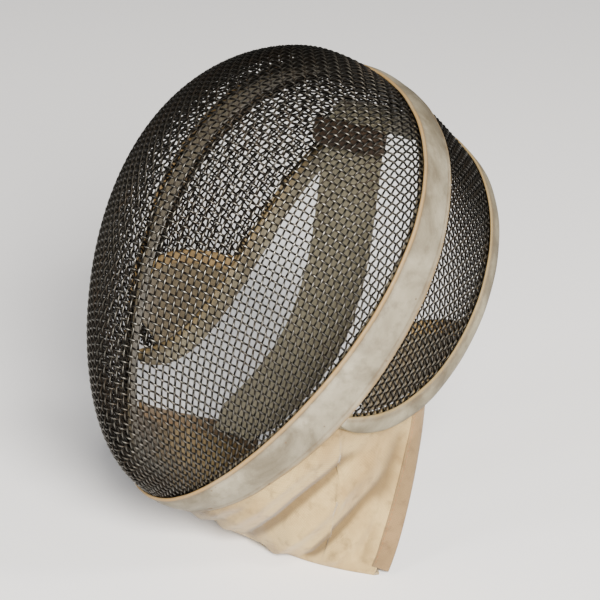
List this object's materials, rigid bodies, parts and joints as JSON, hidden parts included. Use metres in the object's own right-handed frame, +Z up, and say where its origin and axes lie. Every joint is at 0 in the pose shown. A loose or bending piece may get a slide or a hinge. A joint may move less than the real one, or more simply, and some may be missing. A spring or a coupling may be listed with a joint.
{
  "type": "fencing mask",
  "caption": "Fencing mask: a domed front of woven wire with wire sides, pale leather edge bands, a covered spring tongue at the rear opening and a canvas bib that it stands on.",
  "frame": {"origin": "on the table, under the middle of the mask's bounding box as it stands on its bib", "axes": "+Z up; the mask looks along -Y with its crown leaning back towards +Y; +X is the wearer's left"},
  "size_m": [0.2234, 0.292, 0.3166],
  "materials": {
    "wire_mesh": "woven wire, dull with bright worn crowns",
    "pale_leather": "satin, scuffed and stained",
    "lining_cloth": "matt woven cloth",
    "brown_leather": "worn, matt",
    "bib_canvas": "matt woven canvas, soiled",
    "hem_canvas": "matt, aged to tan"
  },
  "bodies": {
    "root": {"front_mesh": "wire_mesh", "side_mesh": "wire_mesh", "front_band": "pale_leather", "joint_tape": "lining_cloth", "rear_trim": "pale_leather", "spring_tongue": "lining_cloth", "corner_lining_left": "lining_cloth", "corner_lining_right": "lining_cloth", "lining_binding_left": "brown_leather", "lining_binding_right": "brown_leather", "crown_pad": "brown_leather", "bib": "bib_canvas", "bib_hem_left": "hem_canvas", "bib_hem_right": "hem_canvas"}
  },
  "joints": []
}
